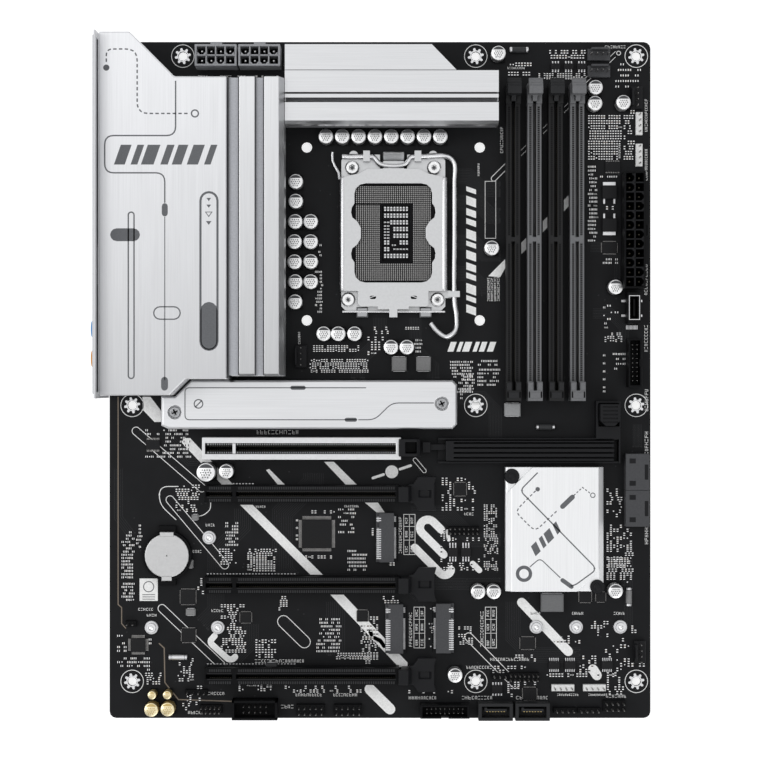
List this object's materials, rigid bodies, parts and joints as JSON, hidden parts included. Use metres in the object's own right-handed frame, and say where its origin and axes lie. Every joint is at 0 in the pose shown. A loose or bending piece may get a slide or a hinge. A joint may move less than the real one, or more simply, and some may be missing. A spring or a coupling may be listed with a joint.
{
  "type": "motherboard",
  "caption": "Black full-size desktop motherboard with brushed aluminium heatsinks, a lever-clamped processor socket, latched memory and card slots, and a fitted rear port shield.",
  "frame": {"origin": "centre of the circuit board's underside", "axes": "+X across the board away from the rear ports, +Y towards the top edge, +Z out of the component side"},
  "size_m": [0.248, 0.3048, 0.0457],
  "materials": {
    "solder_mask_black": "black solder mask over glass-fibre laminate",
    "stamped_steel": "nickel-plated stamped steel",
    "lever_steel": "nickel-plated spring wire",
    "screw_steel": "plated screw head",
    "cover_aluminium": "anodised, fine brushed grain",
    "heatsink_aluminium": "anodised, fine brushed grain",
    "shield_steel": "pale satin coating",
    "port_steel": "bright plated shell",
    "jacket_steel": "pale plated jacket",
    "black_plastic": "moulded, matte",
    "grey_plastic": "moulded, matte",
    "white_plastic": "moulded, matte",
    "coin_steel": "stainless can",
    "capacitor_can": "bare can top",
    "contact_metal": "gold-plated contact",
    "chip_black": "moulded chip body",
    "board_print": "white board print"
  },
  "bodies": {
    "board": {"circuit_board": "solder_mask_black", "socket_backplate": "stamped_steel", "socket_body": "black_plastic", "socket_frame": "stamped_steel", "socket_screw_1": "screw_steel", "socket_screw_2": "screw_steel", "socket_screw_3": "screw_steel", "socket_screw_4": "screw_steel", "io_cover": "cover_aluminium", "vrm_heatsink": "heatsink_aluminium", "top_heatsink": "heatsink_aluminium", "m2_heatsink": "heatsink_aluminium", "m2_screw_1": "screw_steel", "m2_screw_2": "screw_steel", "chipset_heatsink": "heatsink_aluminium", "io_shield": "shield_steel", "ps2_usb_port": "port_steel", "video_port_stack": "port_steel", "usb_port_stack_1": "port_steel", "usb_port_stack_2": "port_steel", "lan_usb_stack": "port_steel", "audio_jack_block": "black_plastic", "cpu_power_header_1": "grey_plastic", "cpu_power_header_2": "grey_plastic", "main_power_header": "black_plastic", "memory_slot_1": "black_plastic", "memory_slot_2": "grey_plastic", "memory_slot_3": "black_plastic", "memory_slot_4": "grey_plastic", "card_slot_1": "black_plastic", "card_slot_2": "black_plastic", "card_slot_3": "black_plastic", "card_slot_4": "black_plastic", "card_slot_jacket": "jacket_steel", "release_base": "black_plastic", "battery_holder": "black_plastic", "coin_cell": "coin_steel", "m2_socket_1": "grey_plastic", "m2_socket_2": "grey_plastic", "m2_socket_3": "grey_plastic", "sata_side_port_1": "grey_plastic", "sata_side_port_2": "grey_plastic", "sata_port_1": "grey_plastic", "sata_port_2": "grey_plastic", "front_usb_c_header": "black_plastic", "front_usb_header_1": "black_plastic", "front_usb_header_2": "black_plastic"},
    "load_lever": {"load_lever": "lever_steel"},
    "load_plate": {"load_plate": "stamped_steel"},
    "memory_latch_1": {"memory_latch_1": "black_plastic"},
    "memory_latch_2": {"memory_latch_2": "grey_plastic"},
    "memory_latch_3": {"memory_latch_3": "black_plastic"},
    "memory_latch_4": {"memory_latch_4": "grey_plastic"},
    "card_latch_1": {"card_latch_1": "black_plastic"},
    "card_latch_2": {"card_latch_2": "black_plastic"},
    "card_latch_3": {"card_latch_3": "black_plastic"},
    "card_latch_4": {"card_latch_4": "black_plastic"},
    "release_rod": {"release_rod": "black_plastic"},
    "release_button": {"release_button": "black_plastic"},
    "flashback_button": {"flashback_button": "black_plastic"}
  },
  "joints": [
    {"name": "load_lever_hinge", "type": "hinge", "parent": "board", "child": "load_lever", "pos_m": [0.006, 0.1004, 0.00485], "axis": [-1, 0, 0], "range_deg": [0, 105]},
    {"name": "load_plate_hinge", "type": "hinge", "parent": "board", "child": "load_plate", "pos_m": [0.006, 0.1004, 0.00485], "axis": [-1, 0, 0], "range_deg": [0, 105]},
    {"name": "memory_latch_1_hinge", "type": "hinge", "parent": "board", "child": "memory_latch_1", "pos_m": [0.0595, 0.1287, 0.00565], "axis": [-1, 0, 0], "range_deg": [0, 30]},
    {"name": "memory_latch_2_hinge", "type": "hinge", "parent": "board", "child": "memory_latch_2", "pos_m": [0.069, 0.1287, 0.00565], "axis": [-1, 0, 0], "range_deg": [0, 30]},
    {"name": "memory_latch_3_hinge", "type": "hinge", "parent": "board", "child": "memory_latch_3", "pos_m": [0.0785, 0.1287, 0.00565], "axis": [-1, 0, 0], "range_deg": [0, 30]},
    {"name": "memory_latch_4_hinge", "type": "hinge", "parent": "board", "child": "memory_latch_4", "pos_m": [0.0881, 0.1287, 0.00565], "axis": [-1, 0, 0], "range_deg": [0, 30]},
    {"name": "card_latch_1_hinge", "type": "hinge", "parent": "board", "child": "card_latch_1", "pos_m": [0.0139, -0.0301, 0.00465], "axis": [0, 1, 0], "range_deg": [0, 12]},
    {"name": "card_latch_2_hinge", "type": "hinge", "parent": "board", "child": "card_latch_2", "pos_m": [0.0116, -0.05085, 0.00565], "axis": [0, 1, 0], "range_deg": [0, 14]},
    {"name": "card_latch_3_hinge", "type": "hinge", "parent": "board", "child": "card_latch_3", "pos_m": [0.0116, -0.0915, 0.00565], "axis": [0, 1, 0], "range_deg": [0, 14]},
    {"name": "card_latch_4_hinge", "type": "hinge", "parent": "board", "child": "card_latch_4", "pos_m": [0.0116, -0.1321, 0.00565], "axis": [0, 1, 0], "range_deg": [0, 14]},
    {"name": "release_button_press", "type": "slide", "parent": "board", "child": "release_button", "axis": [0, 0, -1], "range_m": [0, 0.003], "stiffness_N_per_m": 250, "springref_m": -0.002},
    {"name": "release_rod_slide", "type": "slide", "parent": "board", "child": "release_rod", "axis": [1, 0, 0], "range_m": [0, 0.0018]},
    {"name": "flashback_button_press", "type": "slide", "parent": "board", "child": "flashback_button", "axis": [1, 0, 0], "range_m": [0, 0.0005], "stiffness_N_per_m": 500, "springref_m": -0.0005}
  ],
  "couplings": [
    {"joint": "load_plate_hinge", "follows": "load_lever_hinge", "ratio": 1},
    {"joint": "release_rod_slide", "follows": "release_button_press", "ratio": 0.6},
    {"joint": "card_latch_1_hinge", "follows": "release_button_press", "rad_per_m": 69.5}
  ]
}
